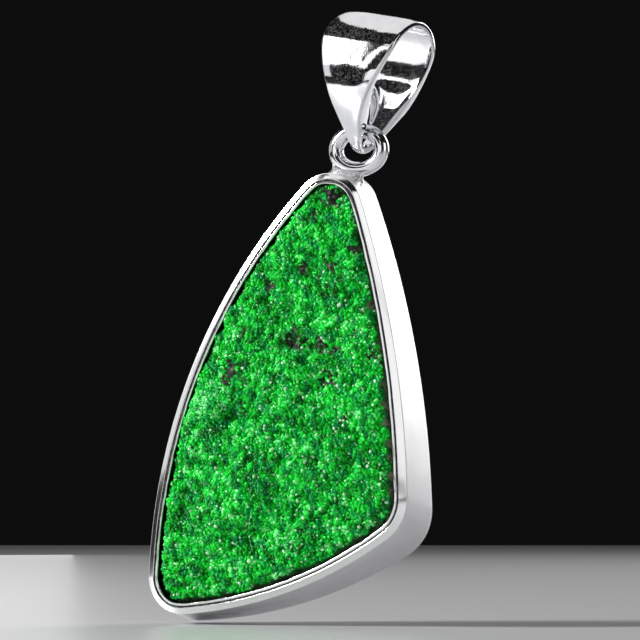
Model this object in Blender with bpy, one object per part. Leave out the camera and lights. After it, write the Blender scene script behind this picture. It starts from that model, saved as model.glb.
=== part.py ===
"""Uvarovite druse pendant.

A slab of rock covered in small green garnet crystals sits in a silver setting: a rim wall folded over the
slab's edge, and a plate behind it. A ring soldered on top of the setting passes through a folded silver
bail, and the setting swings on the bail about the ring's top wire.

The origin is the seat inside the top of the bail, where the pendant hangs. The front faces -Y, +X is to the
right as seen from the front, and +Z is up. Lengths below are in millimetres, and the meshes are in metres.
"""
import math

import bmesh
import bpy
import numpy as np
from mathutils import Matrix, Vector
from mathutils.geometry import delaunay_2d_cdt

MM = 0.001
NAME = "uvarovite_pendant"

# Ring
RING_HALF_WIDTH = 2.1
RING_HALF_HEIGHT = 1.65
WIRE_RADIUS = 0.64
RING_STEPS = 32
WIRE_STEPS = 12

# Setting: three bowed sides with rounded corners, as X and Z from the ring's centre.
# The corners run clockwise from the top, and each bow belongs to the side that starts at its corner.
FRONT_CORNERS = ((-0.45, 0.24), (5.2, -31.45), (-18.8, -39.4))
FRONT_BOWS = (1.5, 2.15, 5.15)
FRONT_RADII = (3.2, 4.15, 3.1)
BACK_CORNERS = ((-0.7, -0.06), (5.7, -32.9), (-18.95, -40.1))
BACK_BOWS = (1.6, 2.0, 5.3)
BACK_RADII = (2.8, 4.5, 3.0)
CORNER_STEPS = 10
SIDE_STEPS = (20, 14, 26)
SETTING_DEPTH = 4.5
# Sets the setting forward of the ring's plane, so that its weight hangs straight below the wire
SETTING_SHIFT = -0.22

# Rim wall, with each inset measured inwards from the outline and each depth back from the front
BEVEL_WIDTH = 0.45
BEVEL_DEPTH = 0.26
GROOVE_WIDTH = 0.12
GROOVE_DEPTH = 0.12
LIP_WIDTH = 0.22
LIP_CROWN = 0.06
LIP_DROP = 0.03
LIP_THICKNESS = 0.3
WALL_THICKNESS = 0.5
LIP_SLOPE = 0.35
WALL_EDGE = 0.08

# Plate behind the slab
PLATE_THICKNESS = 0.5
PLATE_EDGE = 0.15
SOLDER_GAP = 0.03

# Slab, and the crystals on it
SLAB_GAP = 0.06
SLAB_BACK_GAP = 0.05
SLAB_FACE_INSET = 0.98
CRYSTAL_SPACING = 0.8
CRYSTAL_HEIGHT = 0.26
CRYSTAL_UNEVENNESS = 0.1
CRYSTAL_JITTER = 0.16
SLAB_EDGE_BAND = 0.55
SLAB_RIM_DEPTH = 0.12
SLAB_DOME = 0.3
SLAB_DOME_REACH = 5.0
SLAB_SEED = 7
# Mounds and hollows of the crystal layer, as X and Z from the ring's centre, radius and height
RELIEF = (
    (-13.2, -22.0, 2.4, 0.55),
    (-11.2, -23.6, 0.9, -0.5),
    (-5.6, -16.3, 0.75, -0.7),
    (-3.4, -16.6, 0.8, -0.5),
    (-2.3, -4.4, 1.4, -0.35),
    (-3.2, -10.3, 1.5, -0.3),
    (-2.8, -19.6, 1.2, -0.3),
    (-11.6, -18.9, 0.9, -0.35),
    (1.4, -22.0, 2.2, 0.3),
    (-8.5, -29.5, 3.2, 0.25),
    (-2.0, -30.5, 2.8, 0.25),
    (-13.5, -35.2, 1.6, -0.3),
    (-6.0, -9.5, 1.8, 0.3),
)
WAVES = ((0.62, 0.35, 0.0), (-0.4, 0.77, 1.3), (0.9, -0.52, 2.1), (0.2, 1.25, 4.0))
WAVE_HEIGHT = 0.07

# Bail, from the middle of the ring's top wire: Y and Z of its outer surface, Y and Z of its inner surface,
# and its width, from the top down the front, round the tip and up the back
BAIL_LOOP = (
    (0.0, 9.92, 0.0, 9.25, 7.3),
    (-1.35, 9.5, -1.15, 8.88, 7.4),
    (-2.6, 8.62, -2.15, 8.1, 7.5),
    (-3.42, 7.3, -2.85, 6.98, 7.3),
    (-3.82, 5.4, -3.14, 5.3, 6.1),
    (-3.82, 3.6, -2.86, 3.6, 4.6),
    (-3.42, 2.1, -2.1, 2.3, 3.4),
    (-2.72, 0.8, -1.38, 1.15, 2.35),
    (-1.92, -0.35, -1.02, 0.15, 1.65),
    (-1.2, -1.28, -0.9, -0.5, 1.2),
    (-0.62, -1.84, -0.55, -0.98, 0.85),
    (0.0, -2.0, 0.0, -1.15, 0.6),
    (0.62, -1.84, 0.58, -0.98, 0.85),
    (1.2, -1.28, 1.05, -0.45, 1.2),
    (1.92, -0.35, 1.48, 0.25, 1.65),
    (2.72, 0.8, 2.18, 1.22, 2.35),
    (3.4, 2.1, 2.82, 2.35, 3.4),
    (3.68, 3.6, 3.04, 3.6, 4.6),
    (3.6, 5.4, 2.98, 5.3, 6.1),
    (3.32, 7.3, 2.72, 7.0, 7.3),
    (2.6, 8.85, 2.12, 8.32, 7.5),
    (1.38, 9.76, 1.18, 9.1, 7.4),
)
BAIL_STEPS = 2
BAIL_EDGE = 0.12
BAIL_TWIST = math.radians(-12.0)
BAIL_TILT = math.radians(12.0)
BAIL_SHIFT = 0.55

SILVER = (0.93, 0.93, 0.94, 1.0)
SATIN_SILVER = (0.82, 0.82, 0.83, 1.0)
GREEN = (0.01, 0.3, 0.03, 1.0)


def material(name, colour, roughness, metallic):
    """A material with the part's colour, roughness and metallic value."""
    result = bpy.data.materials.new(name)
    result.use_nodes = True
    shader = result.node_tree.nodes["Principled BSDF"]
    shader.inputs["Base Color"].default_value = colour
    shader.inputs["Roughness"].default_value = roughness
    shader.inputs["Metallic"].default_value = metallic
    return result


def add_object(name, bm, collection, look, origin=Vector((0.0, 0.0, 0.0)), smooth=None):
    """Turn a bmesh in millimetres about its own origin into an object in metres."""
    bmesh.ops.scale(bm, vec=(MM, MM, MM), verts=bm.verts)
    bmesh.ops.recalc_face_normals(bm, faces=bm.faces)
    mesh = bpy.data.meshes.new(name)
    bm.to_mesh(mesh)
    bm.free()
    mesh.materials.append(look)
    if smooth is not None:
        mesh.shade_smooth()
        mesh.set_sharp_from_angle(angle=math.radians(smooth))
    item = bpy.data.objects.new(name, mesh)
    item.location = origin * MM
    collection.objects.link(item)
    return item


def bowed_side(start, end, bow):
    """Centre and radius of the arc from start to end that stands bow outside its chord."""
    chord = end - start
    length = np.hypot(*chord)
    radius = length ** 2 / (8 * bow) + bow / 2
    outwards = np.array([-chord[1], chord[0]]) / length
    return (start + end) / 2 + outwards * (bow - radius), radius


def corner_centre(before, after, radius, corner):
    """Centre of the rounding that touches the arcs on both sides of a corner from inside."""
    (c1, r1), (c2, r2) = before, after
    link = c2 - c1
    distance = np.hypot(*link)
    p, q = r1 - radius, r2 - radius
    along = (distance ** 2 + p ** 2 - q ** 2) / (2 * distance)
    across = math.sqrt(max(p ** 2 - along ** 2, 0.0))
    unit = link / distance
    normal = np.array([-unit[1], unit[0]])
    return min((c1 + unit * along + normal * side for side in (across, -across)),
               key=lambda point: np.hypot(*(point - corner)))


def arc_points(centre, radius, first, last, steps):
    """Points from the direction of first towards that of last, the short way, without the end point."""
    a0 = math.atan2(first[1] - centre[1], first[0] - centre[0])
    a1 = math.atan2(last[1] - centre[1], last[0] - centre[0])
    a1 = a0 + (a1 - a0 + math.pi) % (2 * math.pi) - math.pi
    angles = np.linspace(a0, a1, steps, endpoint=False)
    return centre + radius * np.stack([np.cos(angles), np.sin(angles)], -1)


def outline(corners, bows, radii):
    """The closed outline as points running clockwise as seen from the front, from the top corner."""
    corners = np.array(corners)
    sides = [bowed_side(corners[i], corners[(i + 1) % 3], bows[i]) for i in range(3)]
    centres = [corner_centre(sides[i - 1], sides[i], radii[i], corners[i]) for i in range(3)]
    pieces = []
    for i in range(3):
        before, here, following = sides[i - 1][0], sides[i], centres[(i + 1) % 3]
        touch_before = centres[i] + (centres[i] - before)
        touch_after = centres[i] + (centres[i] - here[0])
        pieces.append(arc_points(centres[i], radii[i], touch_before, touch_after, CORNER_STEPS))
        pieces.append(arc_points(here[0], here[1], centres[i], following, SIDE_STEPS[i]))
    return np.concatenate(pieces)


def inset(points, distance):
    """The outline moved inwards by a distance."""
    along = np.roll(points, -1, axis=0) - np.roll(points, 1, axis=0)
    along /= np.hypot(along[:, 0], along[:, 1])[:, None]
    inwards = np.stack([along[:, 1], -along[:, 0]], -1)
    return points + inwards * distance


FRONT = outline(FRONT_CORNERS, FRONT_BOWS, FRONT_RADII)
BACK = outline(BACK_CORNERS, BACK_BOWS, BACK_RADII)
FRONT_Y = SETTING_SHIFT - SETTING_DEPTH / 2


def section(distance, depth):
    """The outline's shape at a depth behind the front, inset by a distance, as X, Y and Z."""
    share = depth / SETTING_DEPTH
    flat = inset(FRONT * (1 - share) + BACK * share, distance)
    return np.stack([flat[:, 0], np.full(len(flat), FRONT_Y + depth), flat[:, 1]], -1)


def loft(bm, sections, close):
    """Quads between each closed section and the next, and from the last to the first when close is set."""
    rows = [[bm.verts.new(point) for point in ring] for ring in sections]
    pairs = list(zip(rows, rows[1:]))
    if close:
        pairs.append((rows[-1], rows[0]))
    for row, following in pairs:
        for i in range(len(row)):
            j = (i + 1) % len(row)
            bm.faces.new((row[i], row[j], following[j], following[i]))
    return rows


def bezel_frame():
    """The rim wall: bevelled outside, grooved, and folded over the slab's edge as a lip."""
    back = SETTING_DEPTH - PLATE_THICKNESS - SOLDER_GAP
    groove_in = BEVEL_WIDTH + GROOVE_WIDTH
    lip_in = groove_in + LIP_WIDTH
    profile = (
        (0.0, BEVEL_DEPTH),
        (BEVEL_WIDTH, 0.0),
        (BEVEL_WIDTH + GROOVE_WIDTH / 3, GROOVE_DEPTH),
        (groove_in - GROOVE_WIDTH / 3, GROOVE_DEPTH),
        (groove_in, 0.0),
        (groove_in + LIP_WIDTH / 2, -LIP_CROWN),
        (lip_in, LIP_DROP),
        (lip_in, LIP_THICKNESS),
        (WALL_THICKNESS, LIP_THICKNESS + LIP_SLOPE),
        (WALL_THICKNESS, back),
        (WALL_EDGE, back),
        (0.0, back - WALL_EDGE),
    )
    bm = bmesh.new()
    loft(bm, [section(*point) for point in profile], close=True)
    return bm


def back_plate():
    """The plate behind the slab, rounded along its outer back edge."""
    front = SETTING_DEPTH - PLATE_THICKNESS
    profile = (
        (WALL_EDGE, front),
        (0.0, front + WALL_EDGE),
        (0.0, SETTING_DEPTH - PLATE_EDGE),
        (PLATE_EDGE, SETTING_DEPTH),
    )
    bm = bmesh.new()
    rows = loft(bm, [section(*point) for point in profile], close=False)
    bm.faces.new(rows[0])
    bm.faces.new(rows[-1])
    return bm


def distance_inside(points, border):
    """Distance from each point to the border, positive inside it."""
    start, end = border, np.roll(border, -1, axis=0)
    run = end - start
    rel = points[:, None] - start
    share = np.clip((rel * run).sum(-1) / (run ** 2).sum(-1), 0.0, 1.0)
    distance = np.linalg.norm(rel - share[..., None] * run, axis=-1).min(axis=1)
    spans = (start[:, 1] > points[:, None, 1]) != (end[:, 1] > points[:, None, 1])
    rise = np.where(run[:, 1] == 0.0, 1.0, run[:, 1])
    crossing = start[:, 0] + (points[:, None, 1] - start[:, 1]) * run[:, 0] / rise
    inside = (spans & (points[:, None, 0] < crossing)).sum(axis=1) % 2 == 1
    return np.where(inside, distance, -distance)


def relief(points, edge_distance):
    """How far the crystal layer stands in front of the rim's front, before single crystals."""
    height = SLAB_DOME * np.clip(edge_distance / SLAB_DOME_REACH, 0.0, 1.0) - SLAB_RIM_DEPTH
    for x, z, radius, rise in RELIEF:
        squared = (points[:, 0] - x) ** 2 + (points[:, 1] - z) ** 2
        height = height + rise * np.exp(-squared / radius ** 2)
    for kx, kz, phase in WAVES:
        height = height + WAVE_HEIGHT * np.sin(kx * points[:, 0] + kz * points[:, 1] + phase)
    return height


def druse():
    """The slab: a lapped rock body whose front is a layer of pointed crystals."""
    back = SETTING_DEPTH - PLATE_THICKNESS - SLAB_BACK_GAP
    shoulder = LIP_THICKNESS + LIP_SLOPE + SLAB_GAP
    base = WALL_THICKNESS + SLAB_GAP
    body = [section(base, back), section(base, shoulder), section(SLAB_FACE_INSET, LIP_THICKNESS)]
    border = body[-1][:, [0, 2]]
    low, high = border.min(axis=0), border.max(axis=0)
    random = np.random.default_rng(SLAB_SEED)
    row_height = CRYSTAL_SPACING * math.sqrt(3) / 2
    lattice, peaks = [], []
    for row in range(int((high[1] - low[1]) / row_height) + 1):
        for column in range(int((high[0] - low[0]) / CRYSTAL_SPACING) + 1):
            x = low[0] + (column + 0.5 * (row % 2)) * CRYSTAL_SPACING
            lattice.append((x, low[1] + row * row_height))
            peaks.append((column - row // 2 + 2 * row) % 3 == 0)
    lattice = np.array(lattice) + random.uniform(-CRYSTAL_JITTER, CRYSTAL_JITTER, (len(lattice), 2))
    lift = np.where(peaks, CRYSTAL_HEIGHT, 0.0)
    lift += random.uniform(-CRYSTAL_UNEVENNESS, CRYSTAL_UNEVENNESS, len(lattice))
    edge = distance_inside(lattice, border)
    keep = edge > SLAB_EDGE_BAND
    lattice, lift, edge = lattice[keep], lift[keep], edge[keep]
    forward = relief(lattice, edge) + lift
    flat = [Vector(point) for point in border] + [Vector(point) for point in lattice]
    loop = list(range(len(border)))
    points, _, faces, origins, _, _ = delaunay_2d_cdt(flat, [], [loop], 1, 1e-6)
    bm = bmesh.new()
    rows = loft(bm, body, close=False)
    bm.faces.new(rows[0])
    verts = []
    for point, source in zip(points, origins):
        if source[0] < len(border):
            verts.append(rows[-1][source[0]])
        else:
            y = FRONT_Y - forward[source[0] - len(border)]
            verts.append(bm.verts.new((point[0], y, point[1])))
    for face in faces:
        bm.faces.new([verts[i] for i in face])
    return bm


def hanging_ring():
    """The ring, a little wider than tall, about its own centre."""
    bm = bmesh.new()
    rings = []
    for step in range(RING_STEPS):
        angle = 2 * math.pi * step / RING_STEPS
        middle = np.array([RING_HALF_WIDTH * math.cos(angle), 0.0, RING_HALF_HEIGHT * math.sin(angle)])
        out = np.array([RING_HALF_HEIGHT * math.cos(angle), 0.0, RING_HALF_WIDTH * math.sin(angle)])
        out /= np.linalg.norm(out)
        wire = []
        for turn in range(WIRE_STEPS):
            t = 2 * math.pi * turn / WIRE_STEPS
            wire.append(middle + WIRE_RADIUS * (math.cos(t) * out + math.sin(t) * np.array([0.0, 1.0, 0.0])))
        rings.append(wire)
    loft(bm, rings, close=True)
    return bm


def closed_curve(points, steps):
    """Points along a smooth closed curve through the given ones, with some steps from each to the next."""
    points = np.array(points, dtype=float)
    result = []
    for i in range(len(points)):
        p0, p1, p2, p3 = np.roll(points, 1 - i, axis=0)[:4]
        for t in np.arange(steps) / steps:
            result.append(0.5 * (2 * p1 + (p2 - p0) * t + (2 * p0 - 5 * p1 + 4 * p2 - p3) * t ** 2
                                 + (3 * p1 - p0 - 3 * p2 + p3) * t ** 3))
    return np.array(result)


def bail():
    """The folded strip: wide over the top, thicker down the front, and tapering to a closed tip."""
    stations = []
    for outer_y, outer_z, inner_y, inner_z, width in closed_curve(BAIL_LOOP, BAIL_STEPS):
        outer = np.array([outer_y, outer_z])
        inner = np.array([inner_y, inner_z])
        edge = (outer - inner) / np.linalg.norm(outer - inner) * BAIL_EDGE
        half = width / 2
        corners = ((half - BAIL_EDGE, outer), (half, outer - edge), (half, inner + edge),
                   (half - BAIL_EDGE, inner), (-half + BAIL_EDGE, inner), (-half, inner + edge),
                   (-half, outer - edge), (-half + BAIL_EDGE, outer))
        stations.append([(x, y, z) for x, (y, z) in corners])
    bm = bmesh.new()
    loft(bm, stations, close=True)
    return bm


def main():
    """Build the pendant's five pieces."""
    for item in list(bpy.data.objects):
        bpy.data.objects.remove(item)
    collection = bpy.data.collections.new(NAME)
    bpy.context.scene.collection.children.link(collection)
    polished = material("polished silver", SILVER, 0.12, 1.0)
    satin = material("satin silver", SATIN_SILVER, 0.38, 1.0)
    stone = material("uvarovite druse", GREEN, 0.3, 0.0)
    turn = Matrix.Rotation(BAIL_TWIST, 3, "Z") @ Matrix.Rotation(BAIL_TILT, 3, "Y")
    on_wire = turn @ Vector((0.0, 0.0, -BAIL_LOOP[0][3]))
    hinge = on_wire - Vector((BAIL_SHIFT, 0.0, 0.0))
    from_hinge = Vector((0.0, 0.0, -RING_HALF_HEIGHT))

    pendant = bpy.data.objects.new("pendant_on_hinge", None)
    pendant.location = hinge * MM
    collection.objects.link(pendant)
    for name, bm, look, smooth in (
            ("uvarovite_druse", druse(), stone, None),
            ("bezel_frame", bezel_frame(), polished, 25.0),
            ("back_plate", back_plate(), satin, 25.0),
            ("hanging_ring", hanging_ring(), polished, 60.0)):
        item = add_object(name, bm, collection, look, from_hinge, smooth)
        item.parent = pendant

    loop = add_object("bail", bail(), collection, polished, on_wire, 30.0)
    loop.rotation_euler = turn.to_euler()


main()
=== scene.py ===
"""The dressed uvarovite druse pendant.

A slab crusted with small green garnet crystals sits in a silver setting and hangs by a soldered ring from a
folded silver bail. The pieces are worked out with numpy in millimetres from the middle of the ring, and put
into their meshes in metres. The front faces -Y, +X is to the right as seen from the front, and +Z is up.
"""
from __future__ import annotations

import logging
import math
from dataclasses import dataclass, field
from enum import Enum

import bpy
import numpy as np
from mathutils import Euler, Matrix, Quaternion, Vector

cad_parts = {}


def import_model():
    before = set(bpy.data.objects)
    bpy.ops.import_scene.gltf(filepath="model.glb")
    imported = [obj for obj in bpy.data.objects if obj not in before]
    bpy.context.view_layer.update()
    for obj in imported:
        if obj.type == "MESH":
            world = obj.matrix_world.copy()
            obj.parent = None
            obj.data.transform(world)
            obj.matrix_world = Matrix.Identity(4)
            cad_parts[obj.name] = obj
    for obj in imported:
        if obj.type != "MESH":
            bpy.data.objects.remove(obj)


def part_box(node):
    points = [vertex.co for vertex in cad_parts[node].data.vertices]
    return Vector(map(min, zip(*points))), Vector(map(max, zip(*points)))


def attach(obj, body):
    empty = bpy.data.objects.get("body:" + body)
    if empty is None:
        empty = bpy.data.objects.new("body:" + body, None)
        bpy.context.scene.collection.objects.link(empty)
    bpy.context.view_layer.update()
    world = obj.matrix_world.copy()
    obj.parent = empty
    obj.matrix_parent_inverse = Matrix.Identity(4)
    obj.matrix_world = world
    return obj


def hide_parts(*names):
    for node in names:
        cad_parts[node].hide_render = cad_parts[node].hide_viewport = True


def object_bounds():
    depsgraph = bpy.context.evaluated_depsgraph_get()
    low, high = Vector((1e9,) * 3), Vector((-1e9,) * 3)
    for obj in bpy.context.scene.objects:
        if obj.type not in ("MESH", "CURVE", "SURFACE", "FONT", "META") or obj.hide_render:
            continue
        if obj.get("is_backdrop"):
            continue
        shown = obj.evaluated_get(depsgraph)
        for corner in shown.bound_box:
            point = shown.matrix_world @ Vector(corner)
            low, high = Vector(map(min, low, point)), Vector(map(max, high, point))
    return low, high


LOG = logging.getLogger("pendant")
MM = 0.001
TURN = 2 * math.pi
# the range that most of a noise node's values fall in
MOST = (0.3, 0.7)

Triple = tuple[float, float, float]
Colour = Triple
Stops = tuple[tuple[float, Colour], ...]
Socket = bpy.types.NodeSocket
Fill = Socket | Colour | float


class Body(Enum):
    """The two bodies that the pieces ride on."""

    BAIL = "bail"
    PENDANT = "pendant"


class Node(Enum):
    """The CAD nodes that the pieces stand for."""

    BAIL = "bail"
    RING = "hanging_ring"
    RIM = "bezel_frame"
    PLATE = "back_plate"
    SLAB = "uvarovite_druse"


# ---------------------------------------------------------------------------------------------- meshes


@dataclass
class Shell:
    """A closed surface: points in millimetres, faces as rows of point numbers, and values per point."""

    points: np.ndarray
    quads: np.ndarray
    caps: list[np.ndarray] = field(default_factory=list)
    values: dict[str, np.ndarray] = field(default_factory=dict)

    @classmethod
    def of_rings(cls, points: np.ndarray, close: bool, values: dict[str, np.ndarray] | None = None) -> Shell:
        """A surface through rings of points, with its two end rings capped where it doesn't close on itself.

        Each quad joins point j and j + 1 of ring i to the same two of ring i + 1.

        Args:
            points: Points of shape (rings, points of a ring, 3).
            close: Whether the last ring joins the first.
            values: Values of each point, by name.

        Returns:
            The closed surface.
        """
        rings, columns = points.shape[:2]
        number = np.arange(rings * columns).reshape(rings, columns)
        here = number if close else number[:-1]
        down = np.roll(number, -1, axis=0) if close else number[1:]
        quads = np.stack([here, np.roll(here, -1, axis=1), np.roll(down, -1, axis=1), down], axis=-1)
        caps = [] if close else [number[0, ::-1], number[-1]]
        return cls(points.reshape(-1, 3), quads.reshape(-1, 4), caps, values or {})

    def outward(self) -> Shell:
        """Turn every face round if the volume inside comes out negative.

        Returns:
            The same shell, with its faces pointing outwards.
        """
        a, b, c, d = (self.points[self.quads[:, k]] for k in range(4))
        volume = (a * np.cross(b, c)).sum() + (a * np.cross(c, d)).sum()
        for cap in self.caps:
            ring = self.points[cap]
            volume += (ring[0] * np.cross(ring[1:-1], ring[2:])).sum()
        if volume < 0:
            self.quads = self.quads[:, ::-1]
            self.caps = [cap[::-1] for cap in self.caps]
        return self

    def parts(self, points_each: int, faces_each: int, count: int) -> list[Shell]:
        """Split a shell of equal closed bodies into parts, in the order of the bodies.

        Args:
            points_each: Points of one body.
            faces_each: Faces of one body.
            count: How many parts.

        Returns:
            The parts, with about the same number of bodies each.
        """
        cuts = [len(self.points) // points_each * k // count for k in range(count + 1)]
        result = []
        for start, end in zip(cuts, cuts[1:]):
            kept = slice(start * points_each, end * points_each)
            quads = self.quads[start * faces_each:end * faces_each] - kept.start
            values = {key: value[kept] for key, value in self.values.items()}
            result.append(Shell(self.points[kept], quads, values=values))
        return result

    def build(self, name: str, origin: np.ndarray, smooth: float | None) -> bpy.types.Object:
        """Put the shell into a mesh object.

        Args:
            name: The object's name.
            origin: The place of the shell's own zero, in millimetres.
            smooth: The angle in degrees above which an edge is sharp, or None for flat faces.

        Returns:
            The new object, at the origin, with its place in its mesh.
        """
        shell = self.outward()
        mesh = bpy.data.meshes.new(name)
        sizes = np.array([4] * len(shell.quads) + [len(cap) for cap in shell.caps], np.int32)
        corners = np.concatenate([shell.quads.ravel(), *shell.caps]).astype(np.int32)
        mesh.vertices.add(len(shell.points))
        mesh.vertices.foreach_set("co", ((shell.points + origin) * MM).astype(np.float32).ravel())
        mesh.loops.add(len(corners))
        mesh.loops.foreach_set("vertex_index", corners)
        mesh.polygons.add(len(sizes))
        mesh.polygons.foreach_set("loop_start", (np.cumsum(sizes) - sizes).astype(np.int32))
        mesh.update(calc_edges=True)
        for key, value in shell.values.items():
            attribute = mesh.attributes.new(key, "FLOAT", "POINT")
            attribute.data.foreach_set("value", value.astype(np.float32))
        if smooth is not None:
            mesh.shade_smooth()
            mesh.set_sharp_from_angle(angle=math.radians(smooth))
        piece = bpy.data.objects.new(name, mesh)
        bpy.context.scene.collection.objects.link(piece)
        return piece


def rounded(corners: np.ndarray, reach: np.ndarray, steps: int) -> np.ndarray:
    """Round each corner p of a closed polygon with the curve (1-t)^2 a + 2(1-t)t p + t^2 b.

    Args:
        corners: Points of shape (corners, 2).
        reach: How far from each corner the rounding starts, of shape (corners,).
        steps: Points on each rounding.

    Returns:
        Points of shape (corners * steps, 2).
    """
    ends = []
    for way in (1, -1):
        side = np.roll(corners, way, axis=0) - corners
        length = np.maximum(np.linalg.norm(side, axis=1, keepdims=True), 1e-9)
        ends.append(corners + side / length * np.minimum(reach[:, None], length * 0.48))
    a, b = ends
    t = np.linspace(0.0, 1.0, steps)[:, None]
    curve = (1 - t) ** 2 * a[:, None] + 2 * (1 - t) * t * corners[:, None] + t ** 2 * b[:, None]
    return curve.reshape(-1, 2)


def closed_curve(stations: np.ndarray, steps: int) -> np.ndarray:
    """A smooth closed curve through a table's rows.

    The curve between two rows is 0.5 (2 p1 + (p2 - p0) t + (2 p0 - 5 p1 + 4 p2 - p3) t^2
    + (3 p1 - p0 - 3 p2 + p3) t^3).

    Args:
        stations: Rows of values.
        steps: How many points from each row to the next.

    Returns:
        Rows of values along the curve.
    """
    t = np.arange(steps)[None, :, None] / steps
    p0, p1, p2, p3 = (np.roll(stations, 1 - k, axis=0)[:, None] for k in range(4))
    curve = 0.5 * (2 * p1 + (p2 - p0) * t + (2 * p0 - 5 * p1 + 4 * p2 - p3) * t ** 2
                   + (3 * p1 - p0 - 3 * p2 + p3) * t ** 3)
    return curve.reshape(-1, stations.shape[1])


@dataclass(frozen=True)
class Waves:
    """Smooth noise: sine waves of seeded direction, length in millimetres and phase, about a height high."""

    height: float
    seed: int
    shortest: float
    longest: float
    count: int = 24

    def at(self, position: np.ndarray) -> np.ndarray:
        """The height times the sum of the waves, which is scaled to a spread of one by sqrt(2 / count).

        Args:
            position: Points of shape (..., dimensions), in millimetres.

        Returns:
            One value for each point.
        """
        random = np.random.default_rng(self.seed)
        direction = random.normal(size=(self.count, position.shape[-1]))
        direction /= np.linalg.norm(direction, axis=1)[:, None]
        length = np.exp(random.uniform(math.log(self.shortest), math.log(self.longest), self.count))
        phase = random.uniform(0.0, TURN, self.count)
        angle = position @ (direction * (TURN / length)[:, None]).T + phase
        return self.height * (np.sin(angle).sum(axis=-1) * math.sqrt(2.0 / self.count))


# ---------------------------------------------------------------------------------------------- finishes


@dataclass
class Shading:
    """A material's node tree, with short calls for the nodes that the finishes use."""

    material: bpy.types.Material

    def fill(self, target: Socket, what: Fill) -> None:
        """Join a socket to another one, or set its own constant.

        Args:
            target: The socket.
            what: The socket that it reads, or its colour or number.
        """
        if isinstance(what, Socket):
            self.material.node_tree.links.new(what, target)
        else:
            target.default_value = (*what, 1.0) if isinstance(what, tuple) else what

    def add(self, kind: str, inputs: dict[str | int, Fill], **settings: object) -> bpy.types.Node:
        """Add a node.

        Args:
            kind: The node's type.
            inputs: What fills its sockets, by name or number.
            settings: The node's own properties.

        Returns:
            The node.
        """
        node = self.material.node_tree.nodes.new(kind)
        for key, value in settings.items():
            setattr(node, key, value)
        for key, what in inputs.items():
            self.fill(node.inputs[key], what)
        return node

    def place(self, stretch: Triple = (1.0, 1.0, 1.0), turn: Triple = (0.0, 0.0, 0.0)) -> Socket:
        """Object coordinates, turned and stretched.

        Args:
            stretch: The scale along each axis.
            turn: The turn about each axis, in degrees.

        Returns:
            The coordinates.
        """
        coordinates = self.add("ShaderNodeTexCoord", {}).outputs["Object"]
        mapping = self.add("ShaderNodeMapping", {"Vector": coordinates})
        mapping.inputs["Scale"].default_value = stretch
        mapping.inputs["Rotation"].default_value = [math.radians(angle) for angle in turn]
        return mapping.outputs["Vector"]

    def noise(self, size: float, detail: float = 3.0, roughness: float = 0.55,
              place: Socket | None = None) -> Socket:
        """Noise all over the piece.

        Args:
            size: About how large its features are, in millimetres.
            detail: How many finer layers it has.
            roughness: How strong those are.
            place: The coordinates, if they aren't plain ones.

        Returns:
            Its value, mostly between 0.3 and 0.7.
        """
        inputs = {"Scale": 1.0 / (size * MM), "Detail": detail, "Roughness": roughness,
                  "Vector": place or self.place()}
        return self.add("ShaderNodeTexNoise", inputs).outputs["Fac"]

    def value(self, name: str) -> Socket:
        """A value that the mesh holds for each point."""
        return self.add("ShaderNodeAttribute", {}, attribute_name=name).outputs["Fac"]

    def spread(self, source: Socket, low: float, high: float, to_low: float = 0.0, to_high: float = 1.0) -> Socket:
        """Stretch part of a value's range over another range.

        Args:
            source: The value.
            low: Where the part starts.
            high: Where it ends.
            to_low: The result at and below its start.
            to_high: The result at and above its end.

        Returns:
            The stretched value.
        """
        inputs = {"Value": source, "From Min": low, "From Max": high, "To Min": to_low, "To Max": to_high}
        return self.add("ShaderNodeMapRange", inputs, clamp=True).outputs["Result"]

    def sum(self, operation: str, first: Socket, second: Socket) -> Socket:
        """Two values put together, and held between zero and one.

        Args:
            operation: The Math node's operation.
            first: The first value.
            second: The second value.

        Returns:
            The result.
        """
        node = self.add("ShaderNodeMath", {0: first, 1: second}, operation=operation, use_clamp=True)
        return node.outputs["Value"]

    def ramp(self, source: Socket, stops: Stops) -> Socket:
        """Colour by value.

        Args:
            source: The value.
            stops: Values and their colours, at least two.

        Returns:
            The colour.
        """
        node = self.add("ShaderNodeValToRGB", {"Fac": source})
        elements = node.color_ramp.elements
        for position, _ in stops[2:]:
            elements.new(position)
        for element, (position, colour) in zip(elements, stops):
            element.position = position
            element.color = (*colour, 1.0)
        return node.outputs["Color"]

    def mix(self, share: Socket, first: Socket | Colour, second: Socket | Colour) -> Socket:
        """Two colours mixed.

        Args:
            share: The share of the second.
            first: The first colour.
            second: The second colour.

        Returns:
            The mixed colour.
        """
        return self.add("ShaderNodeMix", {"Factor": share, 6: first, 7: second}, data_type="RGBA").outputs[2]

    def bump(self, height: Socket, depth: float, below: Socket | None = None) -> Socket:
        """Small relief.

        Args:
            height: The relief, from 0 to 1.
            depth: Its full height in millimetres.
            below: Coarser relief that it lies on.

        Returns:
            The normal.
        """
        inputs = {"Strength": 1.0, "Distance": depth * MM, "Height": height}
        if below is not None:
            inputs["Normal"] = below
        return self.add("ShaderNodeBump", inputs).outputs["Normal"]


def scaled(colour: Colour, shares: Triple) -> Colour:
    """A colour with each part multiplied by its share."""
    return tuple(part * share for part, share in zip(colour, shares))


@dataclass(frozen=True)
class Finish:
    """A finish that builds its own material."""

    name: str

    def make(self) -> bpy.types.Material:
        """Build the material.

        Returns:
            The material, reading Object coordinates and the values that its mesh holds.
        """
        material = bpy.data.materials.new(self.name)
        material.use_nodes = True
        shading = Shading(material)
        for name, what in self.sockets(shading).items():
            shading.fill(material.node_tree.nodes["Principled BSDF"].inputs[name], what)
        return material

    def sockets(self, shading: Shading) -> dict[str, Fill]:
        """What fills the shader's sockets.

        Args:
            shading: The material's node tree.

        Returns:
            A node's socket or a constant for each of the shader's sockets that is set.
        """
        raise NotImplementedError


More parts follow.
